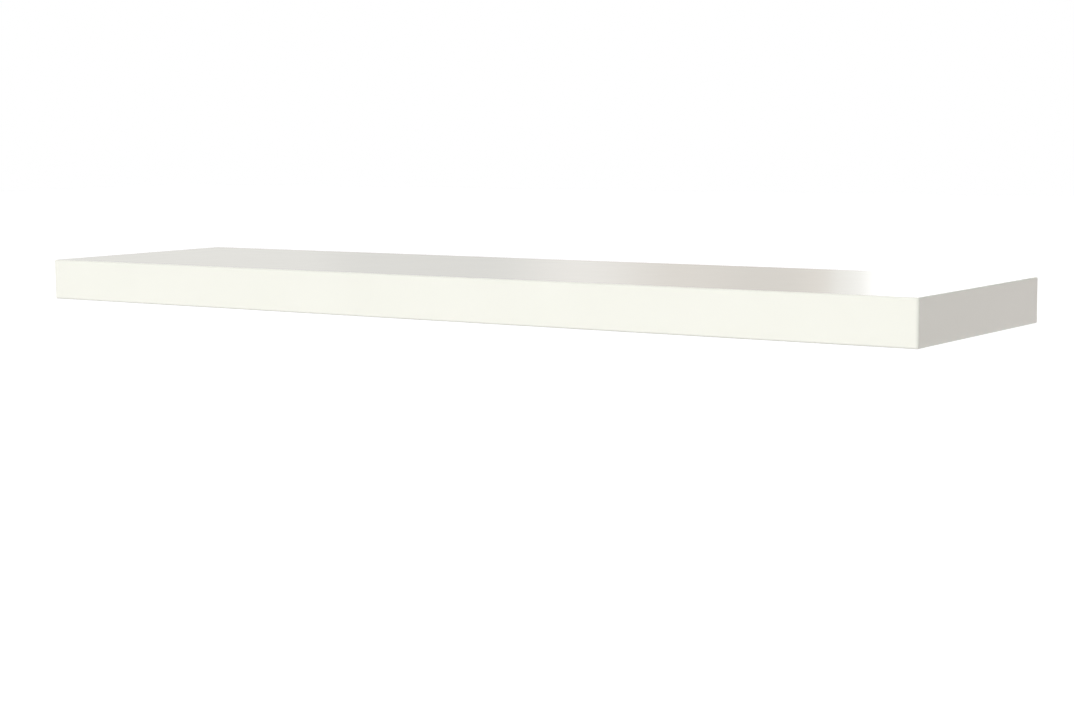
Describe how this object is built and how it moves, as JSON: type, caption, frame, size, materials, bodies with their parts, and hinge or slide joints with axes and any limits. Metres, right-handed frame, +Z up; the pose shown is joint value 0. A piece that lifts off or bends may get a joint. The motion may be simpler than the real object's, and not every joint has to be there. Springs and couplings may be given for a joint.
{
  "type": "floating wall shelf",
  "caption": "Thick white gloss wall shelf, hollow-core board with plastic-banded edges that slides onto steel rods of a hidden wall bracket and is locked by screws from below.",
  "frame": {"origin": "on the wall plane, in the middle of the wall rail's rear face, at mid length and mid thickness of the shelf", "axes": "+X along the shelf to its right end as seen from the room, +Y into the wall, -Y into the room, +Z up"},
  "size_m": [1.2, 0.3, 0.05],
  "materials": {
    "skin_lacquer": "gloss",
    "edge_band": "satin",
    "particle_board": "matte",
    "guide_block": "matte",
    "paper_core": "matte",
    "zinc_steel": "satin",
    "screw_steel": "satin",
    "staple_wire": "satin",
    "insert_brass": "satin"
  },
  "bodies": {
    "wall_bracket": {"wall_rail": "zinc_steel", "support_rod_1": "zinc_steel", "support_rod_2": "zinc_steel", "support_rod_3": "zinc_steel", "support_rod_4": "zinc_steel"},
    "shelf": {"top_skin": "skin_lacquer", "bottom_skin": "skin_lacquer", "front_rail": "particle_board", "left_end_rail": "particle_board", "right_end_rail": "particle_board", "back_rail": "particle_board", "rod_guide_block_1": "guide_block", "rod_guide_block_2": "guide_block", "rod_guide_block_3": "guide_block", "rod_guide_block_4": "guide_block", "honeycomb_core_1": "paper_core", "honeycomb_core_2": "paper_core", "honeycomb_core_3": "paper_core", "honeycomb_core_4": "paper_core", "honeycomb_core_5": "paper_core", "front_edge_band": "edge_band", "left_edge_band": "edge_band", "right_edge_band": "edge_band", "frame_staples": "staple_wire", "threaded_insert_left": "insert_brass", "threaded_insert_right": "insert_brass"},
    "left_lock_washer": {"lock_washer_left": "screw_steel"},
    "left_lock_screw": {"lock_screw_left": "screw_steel"},
    "right_lock_washer": {"lock_washer_right": "screw_steel"},
    "right_lock_screw": {"lock_screw_right": "screw_steel"}
  },
  "joints": [
    {"name": "shelf_slide", "type": "slide", "parent": "wall_bracket", "child": "shelf", "axis": [0, -1, 0], "range_m": [0, 0.22]},
    {"name": "left_lock_travel", "type": "slide", "parent": "shelf", "child": "left_lock_washer", "axis": [0, 0, -1], "range_m": [0, 0.0141]},
    {"name": "left_lock_turn", "type": "hinge", "parent": "left_lock_washer", "child": "left_lock_screw", "pos_m": [-0.45, -0.072, -0.0248], "axis": [0, 0, -1], "range_deg": [0, 5040]},
    {"name": "right_lock_travel", "type": "slide", "parent": "shelf", "child": "right_lock_washer", "axis": [0, 0, -1], "range_m": [0, 0.0141]},
    {"name": "right_lock_turn", "type": "hinge", "parent": "right_lock_washer", "child": "right_lock_screw", "pos_m": [0.45, -0.072, -0.0248], "axis": [0, 0, -1], "range_deg": [0, 5040]}
  ],
  "couplings": [
    {"joint": "left_lock_travel", "follows": "left_lock_turn", "m_per_rad": 0.00015915},
    {"joint": "right_lock_travel", "follows": "right_lock_turn", "m_per_rad": 0.00015915}
  ]
}
